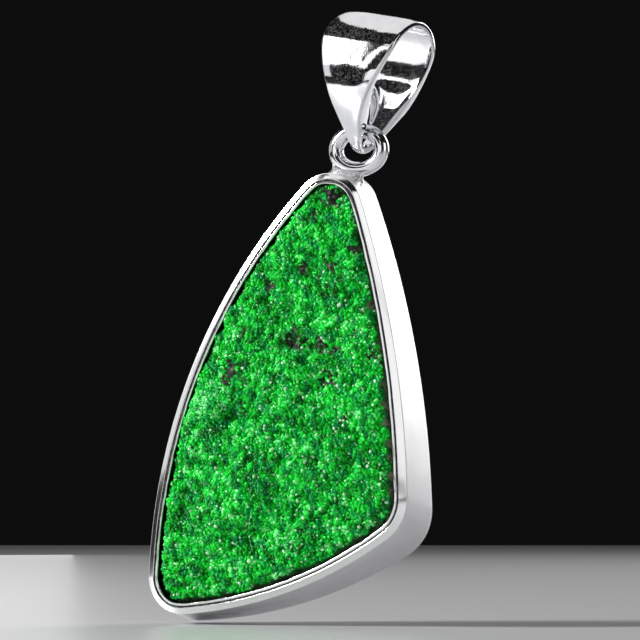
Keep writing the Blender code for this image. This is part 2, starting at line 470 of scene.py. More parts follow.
@dataclass(frozen=True)
class PolishedSilver(Finish):
    """Polished silver with fine scratches, faint smears and a thin mottled film of dust."""

    colour: Colour = (0.93, 0.93, 0.94)
    smeared: Colour = (0.86, 0.87, 0.9)
    gloss: tuple[float, float] = (0.05, 0.16)
    smear_size: float = 2.2
    speck_size: float = 0.2
    blotch_size: float = 1.3
    film: float = 0.1
    scratch_size: float = 0.12
    scratch_stretch: Triple = (1.0, 1.0, 0.06)
    scratch_turn: Triple = (0.0, 35.0, 20.0)
    scratch_depth: float = 0.0012
    dent_size: float = 1.8
    dent_depth: float = 0.02

    def sockets(self, shading: Shading) -> dict[str, Fill]:
        """Smears tint and dull the metal, and the film, specks times blotches, takes a little of it away.

        Args:
            shading: The material's node tree.

        Returns:
            What fills each of the shader's sockets that is set.
        """
        smear = shading.noise(self.smear_size, 4.0, 0.6)
        specks = shading.spread(shading.noise(self.speck_size, 4.0, 0.75), 0.46, 0.62)
        blotches = shading.spread(shading.noise(self.blotch_size, 3.0, 0.6), 0.36, 0.6, 0.25, 1.0)
        dust = shading.sum("MULTIPLY", specks, blotches)
        place = shading.place(self.scratch_stretch, self.scratch_turn)
        scratches = shading.spread(shading.noise(self.scratch_size, 2.0, 0.5, place), 0.45, 0.75)
        dents = shading.bump(shading.noise(self.dent_size, 2.0), self.dent_depth)
        smeared = scaled(self.colour, self.smeared)
        return {
            "Base Color": shading.mix(shading.spread(smear, 0.35, 0.7), self.colour, smeared),
            "Roughness": shading.spread(smear, 0.35, 0.72, *self.gloss),
            "Metallic": shading.spread(dust, 0.0, 1.0, 1.0, 1.0 - self.film),
            "Normal": shading.bump(scratches, self.scratch_depth, dents),
        }


@dataclass(frozen=True)
class RimSilver(Finish):
    """Silver that is matt on the wall, polished on bevel and lip, and dark in the groove.

    The mesh's own "satin" and "tarnish" values say where.
    """

    polished: Colour = (0.94, 0.94, 0.95)
    satin: Colour = (0.84, 0.84, 0.85)
    clouded: Colour = (0.96, 0.96, 0.965)
    dark: Colour = (0.045, 0.043, 0.045)
    polish_roughness: float = 0.1
    satin_roughness: float = 0.42
    cloud_roughness: float = 0.02
    tarnish_roughness: float = 0.6
    cloud_size: float = 3.0
    stain_size: float = 0.5
    grain_size: float = 0.09
    grain_depth: float = 0.004
    dent_size: float = 2.5
    dent_depth: float = 0.006

    def sockets(self, shading: Shading) -> dict[str, Fill]:
        """Colour, roughness and grain follow the mesh's values, with clouds on the satin and patchy tarnish.

        Args:
            shading: The material's node tree.

        Returns:
            What fills each of the shader's sockets that is set.
        """
        satin = shading.value("satin")
        patches = shading.spread(shading.noise(self.stain_size, 4.0, 0.7), 0.25, 0.55, 0.55, 1.0)
        stain = shading.sum("MULTIPLY", shading.value("tarnish"), patches)
        cloud = shading.noise(self.cloud_size, 4.0, 0.6)
        matt = shading.mix(shading.spread(cloud, *MOST), self.satin, scaled(self.satin, self.clouded))
        even = shading.spread(satin, 0.0, 1.0, self.polish_roughness, self.satin_roughness)
        spots = shading.spread(cloud, *MOST, -self.cloud_roughness, self.cloud_roughness)
        rough = shading.sum("ADD", even, spots)
        stained = shading.spread(stain, 0.0, 1.0, 0.05, self.tarnish_roughness)
        grains = shading.sum("MULTIPLY", shading.noise(self.grain_size, 4.0, 0.75), satin)
        dents = shading.bump(shading.noise(self.dent_size, 1.0), self.dent_depth)
        return {
            "Metallic": 1.0,
            "Base Color": shading.mix(stain, shading.mix(satin, self.polished, matt), self.dark),
            "Roughness": shading.sum("MAXIMUM", rough, stained),
            "Normal": shading.bump(grains, self.grain_depth, dents),
        }


@dataclass(frozen=True)
class SatinSilver(Finish):
    """Matt silver with a fine grain, as left by an abrasive wheel."""

    colour: Colour = (0.8, 0.8, 0.81)
    clouded: Colour = (0.9, 0.9, 0.9)
    roughness: tuple[float, float] = (0.34, 0.48)
    cloud_size: float = 4.0
    grain_size: float = 0.1
    grain_stretch: Triple = (1.0, 1.0, 0.12)
    grain_turn: Triple = (0.0, 28.0, 0.0)
    grain_depth: float = 0.014

    def sockets(self, shading: Shading) -> dict[str, Fill]:
        """Colour and roughness follow faint clouds, and the relief is noise drawn out along the grain.

        Args:
            shading: The material's node tree.

        Returns:
            What fills each of the shader's sockets that is set.
        """
        cloud = shading.noise(self.cloud_size, 4.0, 0.6)
        brushed = shading.noise(self.grain_size, 3.0, 0.7, shading.place(self.grain_stretch, self.grain_turn))
        clouded = scaled(self.colour, self.clouded)
        return {
            "Metallic": 1.0,
            "Base Color": shading.mix(shading.spread(cloud, *MOST), self.colour, clouded),
            "Roughness": shading.spread(cloud, *MOST, *self.roughness),
            "Normal": shading.bump(brushed, self.grain_depth),
        }


@dataclass(frozen=True)
class SolderSilver(Finish):
    """Solder left as it flowed: bright, lumpy and a little pitted."""

    dull: Colour = (0.78, 0.77, 0.77)
    bright: Colour = (0.96, 0.96, 0.97)
    roughness: tuple[float, float] = (0.4, 0.26)
    lump_size: float = 0.5
    lump_depth: float = 0.02

    def sockets(self, shading: Shading) -> dict[str, Fill]:
        """Colour, roughness and relief all follow the lumps.

        Args:
            shading: The material's node tree.

        Returns:
            What fills each of the shader's sockets that is set.
        """
        lumps = shading.noise(self.lump_size, 3.0, 0.55)
        return {
            "Metallic": 1.0,
            "Base Color": shading.mix(shading.spread(lumps, 0.3, 0.5), self.dull, self.bright),
            "Roughness": shading.spread(lumps, *MOST, *self.roughness),
            "Normal": shading.bump(lumps, self.lump_depth),
        }


@dataclass(frozen=True)
class GarnetGreen(Finish):
    """Uvarovite crystals: deep to bright green, glassy faces, each crystal with its own tone.

    The mesh's own "tone", "cool" and "rock" values say which, and a fourth value paints glints: pale green-white
    colour standing in for light reflected off crystal faces.
    """

    warm: Stops = ((0.0, (0.0, 0.07, 0.004)), (0.42, (0.0, 0.44, 0.014)), (0.78, (0.015, 0.76, 0.06)),
                   (1.0, (0.26, 0.95, 0.33)))
    cool: Colour = (0.002, 0.26, 0.075)
    most_cool: float = 0.55
    grey: Stops = ((0.4, (0.006, 0.005, 0.007)), (0.52, (0.02, 0.017, 0.018)), (0.64, (0.16, 0.12, 0.11)))
    # painted glint: pale green-white that stands in for light reflected off crystal faces
    painted_glint: Colour = (0.66, 1.0, 0.7)
    glint: Colour = (0.2, 1.0, 0.28)
    roughness: float = 0.1
    ior: float = 1.65
    mottle_size: float = 0.2
    mottle: float = 0.16
    grey_size: float = 0.25

    def sockets(self, shading: Shading) -> dict[str, Fill]:
        """The tone, mottled inside each crystal, picks the green; cool, rock and the painted glints then mix over
        it.

        Args:
            shading: The material's node tree.

        Returns:
            What fills each of the shader's sockets that is set.
        """
        mottle = shading.spread(shading.noise(self.mottle_size, 2.0), *MOST, -self.mottle, self.mottle)
        warm = shading.ramp(shading.sum("ADD", shading.value("tone"), mottle), self.warm)
        coolness = shading.spread(shading.value("cool"), 0.45, 0.9, 0.0, self.most_cool)
        green = shading.mix(coolness, warm, self.cool)
        grey = shading.ramp(shading.noise(self.grey_size, 3.0), self.grey)
        stone = shading.mix(shading.value("rock"), green, grey)
        return {
            "IOR": self.ior,
            "Specular Tint": self.glint,
            "Roughness": self.roughness,
            # the painted glints: pale colour mixed in where the mesh marks them
            "Base Color": shading.mix(shading.value("painted_glint"), stone, self.painted_glint),
        }


@dataclass(frozen=True)
class DruseRock(Finish):
    """The slab's rock: dark ore and grey, green between the crystals, and pale at its cut edge.

    The mesh's own "rock" and "edge" values say where.
    """

    green: Stops = ((0.3, (0.0, 0.02, 0.003)), (0.7, (0.005, 0.16, 0.02)))
    grey: Stops = ((0.4, (0.006, 0.005, 0.007)), (0.52, (0.022, 0.018, 0.02)), (0.68, (0.2, 0.16, 0.14)))
    pale: Stops = ((0.3, (0.1, 0.12, 0.07)), (0.6, (0.42, 0.45, 0.33)), (0.8, (0.62, 0.63, 0.52)))
    roughness: float = 0.6
    specular: float = 0.12
    grain_size: float = 0.3
    grain_depth: float = 0.12

    def sockets(self, shading: Shading) -> dict[str, Fill]:
        """Three colours by the same grain, mixed by the mesh's values.

        Args:
            shading: The material's node tree.

        Returns:
            What fills each of the shader's sockets that is set.
        """
        grain = shading.noise(self.grain_size, 4.0, 0.65)
        green, grey, pale = (shading.ramp(grain, stops) for stops in (self.green, self.grey, self.pale))
        face = shading.mix(shading.value("rock"), green, grey)
        return {
            "Roughness": self.roughness,
            "Specular IOR Level": self.specular,
            "Base Color": shading.mix(shading.value("edge"), face, pale),
            "Normal": shading.bump(grain, self.grain_depth),
        }


@dataclass(frozen=True)
class PaleTable(Finish):
    """The plain pale floor, with a slight sheen."""

    colour: Colour = (0.55, 0.55, 0.56)
    roughness: float = 0.3

    def sockets(self, shading: Shading) -> dict[str, Fill]:
        """Constants alone."""
        return {"Base Color": self.colour, "Roughness": self.roughness}


# ---------------------------------------------------------------------------------------------- pieces


def finish_piece(piece: bpy.types.Object, material: bpy.types.Material, body: Body,
                 stands_for: tuple[Node, ...] = ()) -> None:
    """Dress a piece, put it on its body and hide the CAD nodes that it stands for.

    Args:
        piece: The piece.
        material: Its finish.
        body: The body that it rides on.
        stands_for: The CAD nodes that it replaces.
    """
    piece.data.materials.clear()
    piece.data.materials.append(material)
    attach(piece, body.value)
    if stands_for:
        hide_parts(*(node.value for node in stands_for))
    triangles = sum(len(polygon.vertices) - 2 for polygon in piece.data.polygons)
    LOG.info("%s: %d triangles on %s", piece.name, triangles, body.value)


@dataclass
class SettingOutline:
    """The setting's outline: three bowed sides with rounded corners, as X and Z from the ring's centre.

    The corners are the top, the right and the bottom left one, and each side runs from its corner to the next.
    """

    front_corners: tuple = ((-0.45, 0.24), (5.42, -31.5), (-18.8, -39.4))
    front_bows: Triple = (1.52, 2.15, 5.15)
    front_radii: Triple = (3.2, 4.15, 3.1)
    back_corners: tuple = ((-0.7, -0.06), (6.0, -32.95), (-18.95, -40.1))
    back_bows: Triple = (1.7, 2.0, 5.3)
    back_radii: Triple = (2.8, 4.5, 3.0)
    depth: float = 4.5
    shift: float = -0.22
    corner_steps: int = 26
    side_steps: tuple[int, int, int] = (90, 66, 112)
    # how much wider the bevel is than on the left, at the places that along_sides names
    wider: tuple = (0.0, 0.22, 0.09, 0.0)

    def __post_init__(self) -> None:
        """Work out both outlines once."""
        self.front = self.curve(np.array(self.front_corners), self.front_bows, self.front_radii)
        self.back = self.curve(np.array(self.back_corners), self.back_bows, self.back_radii)
        self.count = len(self.front)
        self.front_y = self.shift - self.depth / 2
        self.widening = self.along_sides(self.wider)

    @staticmethod
    def bowed_side(start: np.ndarray, end: np.ndarray, bow: float) -> tuple[np.ndarray, float]:
        """The arc between two points; its radius is length^2 / (8 bow) + bow / 2.

        Args:
            start: The arc's start.
            end: The arc's end.
            bow: How far it stands outside its chord.

        Returns:
            The arc's centre and radius.
        """
        chord = end - start
        length = float(np.hypot(*chord))
        radius = length ** 2 / (8 * bow) + bow / 2
        outwards = np.array([-chord[1], chord[0]]) / length
        return (start + end) / 2 + outwards * (bow - radius), radius

    @staticmethod
    def corner_centre(before: tuple, after: tuple, radius: float, corner: np.ndarray) -> np.ndarray:
        """Centre of the rounding that touches both neighbouring arcs from inside.

        It is where circles of radius R1 - r and R2 - r about the arcs' centres cross, nearest the corner.

        Args:
            before: Centre and radius of the arc before the corner.
            after: Centre and radius of the arc after it.
            radius: The rounding's radius.
            corner: The corner before rounding.

        Returns:
            The centre.
        """
        (c1, r1), (c2, r2) = before, after
        link = c2 - c1
        distance = float(np.hypot(*link))
        p, q = r1 - radius, r2 - radius
        along = (distance ** 2 + p ** 2 - q ** 2) / (2 * distance)
        across = math.sqrt(max(p ** 2 - along ** 2, 0.0))
        unit = link / distance
        normal = np.array([-unit[1], unit[0]])
        crossings = [c1 + unit * along + normal * side for side in (across, -across)]
        return min(crossings, key=lambda point: float(np.hypot(*(point - corner))))

    @staticmethod
    def arc(centre: np.ndarray, radius: float, first: np.ndarray, last: np.ndarray, steps: int) -> np.ndarray:
        """Points of a circle from the direction of one point towards that of another, the short way.

        Args:
            centre: The circle's centre.
            radius: The circle's radius.
            first: The point that it starts towards.
            last: The point that it ends towards.
            steps: How many points.

        Returns:
            Points of shape (steps, 2), without the last one.
        """
        a0, a1 = (math.atan2(point[1] - centre[1], point[0] - centre[0]) for point in (first, last))
        a1 = a0 + (a1 - a0 + math.pi) % TURN - math.pi
        angles = np.linspace(a0, a1, steps, endpoint=False)
        return centre + radius * np.stack([np.cos(angles), np.sin(angles)], -1)

    def curve(self, corners: np.ndarray, bows: Triple, radii: Triple) -> np.ndarray:
        """The closed outline, clockwise as seen from the front.

        Args:
            corners: The three corners before rounding.
            bows: How far each side stands outside its chord.
            radii: The rounding of each corner.

        Returns:
            Points of shape (points, 2).
        """
        sides = [self.bowed_side(corners[i], corners[(i + 1) % 3], bows[i]) for i in range(3)]
        centres = [self.corner_centre(sides[i - 1], sides[i], radii[i], corners[i]) for i in range(3)]
        pieces = []
        for i, centre in enumerate(centres):
            before, (here, radius) = sides[i - 1][0], sides[i]
            pieces.append(self.arc(centre, radii[i], 2 * centre - before, 2 * centre - here, self.corner_steps))
            pieces.append(self.arc(here, radius, centre, centres[(i + 1) % 3], self.side_steps[i]))
        return np.concatenate(pieces)

    def at(self, inset: np.ndarray, depth: np.ndarray) -> np.ndarray:
        """Points of the outline at insets and depths: p + n inset, where p blends front and back outlines.

        Args:
            inset: Distance inwards, of shape (rows, 1) or (rows, points).
            depth: Distance behind the front, of shape (rows, 1) or (rows, points).

        Returns:
            Points of shape (rows, points, 3).
        """
        share = (depth / self.depth)[..., None]
        flat = self.front * (1 - share) + self.back * share
        along = np.roll(flat, -1, axis=1) - np.roll(flat, 1, axis=1)
        along /= np.linalg.norm(along, axis=-1, keepdims=True)
        inwards = np.stack([along[..., 1], -along[..., 0]], -1)
        flat = flat + inwards * inset[..., None]
        y = np.broadcast_to(self.front_y + depth, flat.shape[:2])
        return np.stack([flat[..., 0], y, flat[..., 1]], -1)

    def circle(self) -> np.ndarray:
        """The front outline laid out as a circle of its length L, so that noise along it has no seam.

        Returns:
            A point (cos a, sin a) L / 2 pi for each of the outline's, where a is its share of the way round.
        """
        step = np.linalg.norm(np.roll(self.front, -1, axis=0) - self.front, axis=1)
        run = np.concatenate([[0.0], np.cumsum(step)[:-1]])
        total = run[-1] + run[1]
        turn = TURN * run / total
        return np.stack([np.cos(turn), np.sin(turn)], -1) * total / TURN

    def along_sides(self, values: tuple) -> np.ndarray:
        """A measure for each point of the outline, running evenly between its values at four places.

        Args:
            values: The measure at the top, before and after the right corner, and from the bottom left on.

        Returns:
            The measure at each point.
        """
        steps = [self.corner_steps + self.side_steps[0], self.corner_steps, self.side_steps[1]]
        return np.interp(np.arange(self.count), [self.corner_steps, *np.cumsum(steps)], values)


@dataclass
class RimWall:
    """The rim wall, satin outside, with a dark groove between a polished bevel and lip, and its plate."""

    outline: SettingOutline
    bevel: float = 0.52
    bevel_depth: float = 0.18
    groove: float = 0.15
    groove_depth: float = 0.16
    lip: float = 0.24
    lip_crown: float = 0.04
    lip_thickness: float = 0.3
    wall: float = 0.5
    back_round: float = 0.22
    plate_inset: float = 0.42
    rounding_steps: int = 5
    uneven: Waves = Waves(0.012, 5, 1.2, 7.0, 18)
    dips: Waves = Waves(0.01, 6, 1.5, 8.0, 18)
    # inset and distance from the back of the plate's rows, from its front centre out, round its edge and back
    plate_rows: tuple = ((9.0, 0.5), (4.0, 0.5), (0.7, 0.5), (0.47, 0.46), (0.45, 0.3), (0.47, 0.08),
                         (0.55, 0.02), (0.8, 0.0), (2.0, 0.0), (4.0, 0.0), (9.0, 0.0))
    plate_edge: float = 0.8
    plate_reach: float = 8.2
    plate_centre: tuple[float, float] = (-6.6, -24.0)
    plate_pull: float = 0.98

    def shell(self) -> Shell:
        """The rim's profile carried along the outline, with its edges a little uneven.

        Returns:
            The rim, with the values "satin" and "tarnish".
        """
        groove_in = self.bevel + self.groove
        lip_in = groove_in + self.lip
        back = self.outline.depth
        # inset, depth, rounding, satin, tarnish, unevenness
        table = np.array([
            (0.0, self.bevel_depth, 0.04, 1.0, 0.0, 0.0),
            (0.07, self.bevel_depth * 0.86, 0.02, 0.0, 0.0, 0.0),
            (self.bevel - 0.03, 0.0, 0.05, 0.0, 0.0, 0.2),
            (self.bevel + 0.02, 0.05, 0.03, 0.0, 1.0, 0.3),
            (self.bevel + 0.03, self.groove_depth, 0.03, 0.0, 1.0, 0.3),
            (groove_in - 0.03, self.groove_depth, 0.03, 0.0, 1.0, 0.5),
            (groove_in, 0.03, 0.03, 0.0, 0.2, 0.5),
            (groove_in + 0.03, -self.lip_crown + 0.015, 0.03, 0.0, 0.0, 0.5),
            (lip_in - 0.05, -self.lip_crown, 0.05, 0.0, 0.0, 1.0),
            (lip_in, 0.05, 0.05, 0.0, 0.0, 1.2),
            (lip_in, self.lip_thickness, 0.06, 0.0, 0.7, 1.0),
            (self.wall + 0.05, self.lip_thickness + 0.35, 0.06, 0.0, 1.0, 0.0),
            (self.wall + 0.05, back - 0.3, 0.1, 0.3, 0.5, 0.0),
            (self.plate_inset, back - 0.06, 0.04, 0.6, 0.6, 0.0),
            (self.plate_inset - 0.06, back, 0.05, 1.0, 0.0, 0.0),
            (self.back_round, back, 0.1, 1.0, 0.0, 0.0),
            (0.0, back - self.back_round, 0.14, 1.0, 0.0, 0.0),
            (0.0, back - 0.45, 0.02, 1.0, 0.0, 0.0),
            (0.0, back * 0.66, 0.02, 1.0, 0.0, 0.0),
            (0.0, back * 0.33, 0.02, 1.0, 0.0, 0.0),
            (0.0, self.bevel_depth + 0.16, 0.02, 1.0, 0.0, 0.0),
        ])
        shape = rounded(table[:, :2], table[:, 2], self.rounding_steps)
        satin, tarnish, unevenness = np.repeat(table[:, 3:], self.rounding_steps, axis=0).T
        circle = self.outline.circle()
        # the widening moves all that lies in from the middle of the bevel, but not the back edge
        moved = (shape[:, :1] > self.bevel * 0.5) & (shape[:, 1:] < back - 0.4)
        inset = shape[:, :1] + unevenness[:, None] * self.uneven.at(circle) + moved * self.outline.widening
        depth = shape[:, 1:] + unevenness[:, None] * self.dips.at(circle)
        values = {"satin": np.repeat(satin, len(circle)), "tarnish": np.repeat(tarnish, len(circle))}
        return Shell.of_rings(self.outline.at(inset, depth), True, values)

    def plate(self) -> Shell:
        """The plate inside the rim's back edge, whose rows beyond an inset are drawn in towards its centre.

        Returns:
            The plate.
        """
        inset, before_back = np.array(self.plate_rows).T[..., None]
        points = self.outline.at(np.minimum(inset, self.plate_edge), self.outline.depth - before_back)
        pull = (np.clip(inset - self.plate_edge, 0.0, None) / self.plate_reach)[..., None]
        points[..., [0, 2]] += (np.array([self.plate_centre]) - points[..., [0, 2]]) * pull * self.plate_pull
        return Shell.of_rings(points, False)

    def make(self, origin: np.ndarray) -> None:
        """Build the rim wall and its plate.

        Args:
            origin: The ring's middle, in millimetres.
        """
        rim = self.shell().build("rim_wall", origin, 50.0)
        finish_piece(rim, RimSilver("rim_silver").make(), Body.PENDANT, (Node.RIM,))
        plate = self.plate().build("closing_plate", origin, 40.0)
        finish_piece(plate, SatinSilver("plate_silver").make(), Body.PENDANT, (Node.PLATE,))


@dataclass(frozen=True)
class CrystalLayer:
    """How far apart a layer's crystals sit, their smallest and largest half size, and how proud they stand.

    Sizes are drawn from a beta distribution of the given shape. A layer with painted glints has a few pale
    crystals that stand in for glints.
    """

    spacing: float
    smallest: float
    largest: float
    proud: float
    shape: tuple[float, float] = (1.8, 2.4)
    # whether the layer is painted as glints: pale crystals standing in for reflections
    has_painted_glints: bool = False


@dataclass
class DruseSlab:
    """The slab: a relief of rock between the crystals, and crystals set all over it."""

    outline: SettingOutline
    seed: int = 11
    face_inset: float = 1.12
    left_reach: float = 0.18
    border_waves: Waves = Waves(0.06, 30, 0.7, 3.0)
    chip_waves: Waves = Waves(1.0, 31, 1.1, 4.0)
    chip_from: float = 0.9
    chip_depth: float = 0.22
    border_behind: float = 0.3
    rows_in: int = 84
    centre: tuple[float, float] = (-6.4, -22.5)
    smallest_row: float = 0.004
    rock_behind: float = 0.03
    dome: float = 0.3
    dome_reach: float = 5.0
    rim_depth: float = 0.12
    fall: float = 0.25
    fall_reach: float = 0.5
    lump_waves: Waves = Waves(0.1, 41, 1.1, 3.4, 30)
    fine_waves: Waves = Waves(0.03, 42, 0.35, 0.9, 30)
    bare_waves: Waves = Waves(0.3, 40, 0.5, 1.6, 16)
    # how the crystals stand: how far each is shaken off the lattice in spacings, its least distance from the
    # border, its stretch along each axis, and how far it is sunk or raised in half sizes
    shaken: float = 0.24
    clear: float = 0.02
    stretch: tuple[float, float] = (0.7, 1.2)
    raised: tuple[float, float] = (-0.4, 0.3)
    # the share missing from the barest places, and by how much the palest crystals are smaller
    missing: float = 0.93
    shrunk: float = 0.5
    most_shrunk: float = 0.34
    # how grey a crystal is on a bare place, and how much less at random
    grey: tuple[float, float] = (1.1, 0.6)
    worn: float = 0.06
    chipped: float = 3.5
    tone: float = 0.42
    tone_waves: tuple[Waves, Waves] = (Waves(0.13, 43, 2.0, 7.0), Waves(0.19, 44, 0.7, 2.0))
    tone_spread: float = 0.1
    # a few crystals lifted towards the palest green at random: painted glints
    bright: float = 0.45
    painted_glint_tone_share: float = 0.03
    cool: float = 0.5
    cool_if_pale: float = 0.6
    cool_waves: Waves = Waves(0.3, 45, 0.8, 3.0)
    # painted glints: how pale the glint crystals are painted, how many there are, and their clusters
    painted_glint_range: tuple[float, float] = (0.35, 1.0)
    painted_glint_share: float = 0.4
    painted_glint_waves: Waves = Waves(0.45, 46, 0.6, 2.0)
    # how much wider the gap to the lip is, at the places that along_sides names
    gaps: tuple = (0.04, 0.3, 0.36, 0.14)
    # inset, depth and share of the widening of each row of the slab's side, from the back forwards
    side_rows: tuple = ((0.62, 3.95, 0.0), (0.62, 2.2, 0.0), (0.72, 1.3, 0.6), (0.94, 0.8, 1.0))
    # how pale the rows that follow are
    pale_rows: tuple = (1.0, 0.85, 0.5, 0.2, 0.05)
    layers: tuple = (CrystalLayer(0.19, 0.095, 0.15, -0.05), CrystalLayer(0.38, 0.12, 0.21, -0.02))
    # small pale crystals painted as glints
    painted_glint_layer: CrystalLayer = CrystalLayer(0.38, 0.07, 0.2, -0.04, (1.3, 3.2), True)
    # heights of the notches in the right-hand edge, with their half width and depth
    notches: tuple = (
        (-19.9, 0.3, 0.3), (-21.5, 0.24, 0.5), (-23.05, 0.22, 0.55), (-24.7, 0.25, 0.35), (-26.0, 0.2, 0.45),
        (-27.4, 0.25, 0.4), (-28.9, 0.22, 0.35), (-13.0, 0.3, 0.3), (-16.6, 0.25, 0.3),
    )
    # X, Z, radius and height of mounds and hollows
    relief: tuple = (
        (-12.6, -21.2, 2.2, 0.6), (-10.6, -22.5, 0.7, -0.5), (-11.8, -23.4, 0.7, -0.45), (-5.2, -16.2, 0.75, -0.7),
        (-3.4, -16.6, 0.8, -0.5), (-2.3, -4.4, 1.4, -0.35), (-3.2, -10.3, 1.5, -0.3), (-2.8, -19.6, 1.2, -0.3),
        (-11.6, -18.9, 0.9, -0.35), (1.4, -22.0, 2.2, 0.3), (-8.5, -29.5, 3.2, 0.25), (-2.0, -30.5, 2.8, 0.25),
        (-13.5, -35.2, 1.6, -0.3), (-6.0, -9.5, 1.8, 0.3),
    )
    # radians per millimetre along X and Z, and phase, of the long waves
    long_waves: tuple = ((0.62, 0.35, 0.0), (-0.4, 0.77, 1.3), (0.9, -0.52, 2.1), (0.2, 1.25, 4.0))
    wave_height: float = 0.07
    # X, Z and radius of bare places
    bare: tuple = (
        (-1.4, -4.1, 0.95), (-4.0, -10.0, 0.6), (-1.3, -10.0, 0.55), (-7.1, -11.7, 0.6), (-4.95, -16.2, 1.0),
        (-2.35, -16.6, 0.65), (-10.8, -18.4, 0.7), (-11.2, -19.2, 0.6), (-1.5, -19.5, 0.7), (-9.6, -15.4, 0.4),
        (-1.1, -17.1, 0.4), (2.3, -17.5, 0.5), (-0.3, -22.9, 0.4), (-2.4, -19.9, 0.4), (-3.0, -5.6, 0.4),
        (0.6, -8.6, 0.45),
    )
    # X, Z, radius and lightening of pale places, the smooth mound first; on the raised mounds the lightening is
    # partly painted light, elsewhere it is paler green
    pale: tuple = (
        (-12.4, -20.9, 1.9, 0.44), (1.9, -20.6, 1.2, 0.22), (-0.2, -5.0, 0.9, 0.2), (-14.2, -25.1, 1.4, 0.24),
        (-8.0, -8.6, 1.5, 0.1), (0.6, -13.6, 1.0, 0.12), (-13.4, -22.4, 1.2, 0.14),
    )
    # X, Z, radius and darkening of dark places; where they lie in the relief's hollows the darkening is painted
    # shade, elsewhere it is darker green
    dark: tuple = (
        (-10.0, -21.9, 0.7, 0.4), (-10.8, -22.6, 0.7, 0.45), (-11.8, -23.4, 0.8, 0.4), (-13.2, -24.0, 0.7, 0.25),
        (-10.2, -18.9, 1.2, 0.3), (-5.2, -17.2, 1.0, 0.28), (-1.5, -11.6, 1.5, 0.22), (-7.4, -27.6, 2.2, 0.16),
        (-12.5, -12.8, 1.6, 0.2), (-15.2, -31.0, 1.6, 0.14), (0.4, -27.0, 1.6, 0.12),
    )

    def __post_init__(self) -> None:
        """Work out the crystal layer's border, with its notches, chips and wider gap to the lip."""
        circle = self.outline.circle()
        x, z = self.outline.front.T
        chips = np.clip(self.chip_waves.at(circle) - self.chip_from, 0.0, None)
        inset = self.face_inset + self.outline.widening + self.border_waves.at(circle) + self.chip_depth * chips
        heights, half_widths, depths = np.array(self.notches).T
        on_right = np.clip(x + 1.0, 0.0, 1.0)
        away = (z[:, None] - heights) / half_widths
        self.notched = (depths * np.exp(-away ** 2)).sum(axis=1) * on_right
        on_left = np.clip((z + 36.0) / 4.0, 0.0, 1.0) * (1.0 - on_right)
        inset += self.notched + self.outline.along_sides(self.gaps) - self.left_reach * on_left
        self.border = self.outline.at(inset[None], np.full((1, len(x)), self.border_behind))[0][:, [0, 2]]

    def bumps(self, places: np.ndarray, table: tuple) -> np.ndarray:
        """The sum of height exp(-distance^2 / radius^2) over a table's rows.

        Args:
            places: X and Z of each place.
            table: Rows of X, Z, radius and height.

        Returns:
            The sum at each place.
        """
        rows = np.array(table)
        squared = ((places[..., None, :] - rows[:, :2]) ** 2).sum(axis=-1)
        return (rows[:, 3] * np.exp(-squared / rows[:, 2] ** 2)).sum(axis=-1)

    def bareness(self, places: np.ndarray) -> np.ndarray:
        """How bare of crystals each place is: 1.6 - 1.25 d, with d in radii from the nearest bare place.

        Args:
            places: X and Z of each place.

        Returns:
            Values from 0 to 1, with ragged borders.
        """
        rows = np.array(self.bare)
        distance = np.sqrt(((places[..., None, :] - rows[:, :2]) ** 2).sum(axis=-1)) / rows[:, 2]
        ragged = distance.min(axis=-1) + self.bare_waves.at(places)
        return np.clip(1.6 - ragged * 1.25, 0.0, 1.0)

    def edge_distance(self, places: np.ndarray) -> np.ndarray:
        """Distance to the crystal layer's border, whose nearest point lies on one of its straight pieces.

        Args:
            places: X and Z of each place.

        Returns:
            The distance of each place, negative outside the border.
        """
        start = self.border[::2]
        run = np.roll(start, -1, axis=0) - start
        result = []
        for part in np.array_split(places.reshape(-1, 2), 24):
            rel = part[:, None] - start
            share = np.clip((rel * run).sum(-1) / (run ** 2).sum(-1), 0.0, 1.0)
            away = np.linalg.norm(rel - share[..., None] * run, axis=-1)
            near = away.argmin(axis=1)
            pick = np.arange(len(part))
            side = run[near, 1] * rel[pick, near, 0] - run[near, 0] * rel[pick, near, 1]
            result.append(np.where(side > 0, 1.0, -1.0) * away.min(axis=1))
        return np.concatenate(result).reshape(places.shape[:-1])

    def height(self, places: np.ndarray, edge: np.ndarray) -> np.ndarray:
        """How far the layer stands in front of the rim: dome, mounds, long waves, small lumps and fall.

        The dome rises evenly over its reach from the border, and the fall is f (1 - edge / reach)^2.

        Args:
            places: X and Z of each place.
            edge: Their distances from the border.

        Returns:
            The height of each place.
        """
        waves = np.array(self.long_waves)
        long = np.sin(places @ waves[:, :2].T + waves[:, 2]).sum(axis=-1) * self.wave_height
        dome = self.dome * np.clip(edge / self.dome_reach, 0.0, 1.0) - self.rim_depth
        fall = -self.fall * np.clip(1.0 - edge / self.fall_reach, 0.0, 1.0) ** 2
        lumps, fine = self.lump_waves.at(places), self.fine_waves.at(places)
        return dome + self.bumps(places, self.relief) + long + lumps + fine + fall

    def rock(self) -> Shell:
        """The slab's body: its side in rows from the back forwards, then its front from the border inwards.

        Returns:
            The rock, with the values "rock" and "edge".
        """
        share = np.linspace(1.0, self.smallest_row, self.rows_in)[:, None, None]
        centre = np.array(self.centre)
        places = centre + (self.border - centre) * share
        edge = self.edge_distance(places)
        edge[0] = 0.0
        y = self.outline.front_y - self.height(places, edge) + self.rock_behind
        inset, depth, widened = np.array(self.side_rows).T[..., None]
        wider = self.outline.widening + self.outline.along_sides(self.gaps)
        inset = inset + wider * widened
        sides = self.outline.at(inset, np.broadcast_to(depth, inset.shape))
        points = np.concatenate([sides, np.stack([places[..., 0], y, places[..., 1]], -1)])
        edge_value = np.zeros(points.shape[:2])
        worn = np.clip(self.worn + self.chipped * self.notched, 0.0, 1.0)
        edge_value[len(sides):len(sides) + len(self.pale_rows)] = np.array(self.pale_rows)[:, None] * worn
        rock_value = self.bareness(points[..., [0, 2]])
        rock_value[:len(sides)] = 1.0
        return Shell.of_rings(points, False, {"rock": rock_value.ravel(), "edge": edge_value.ravel()})

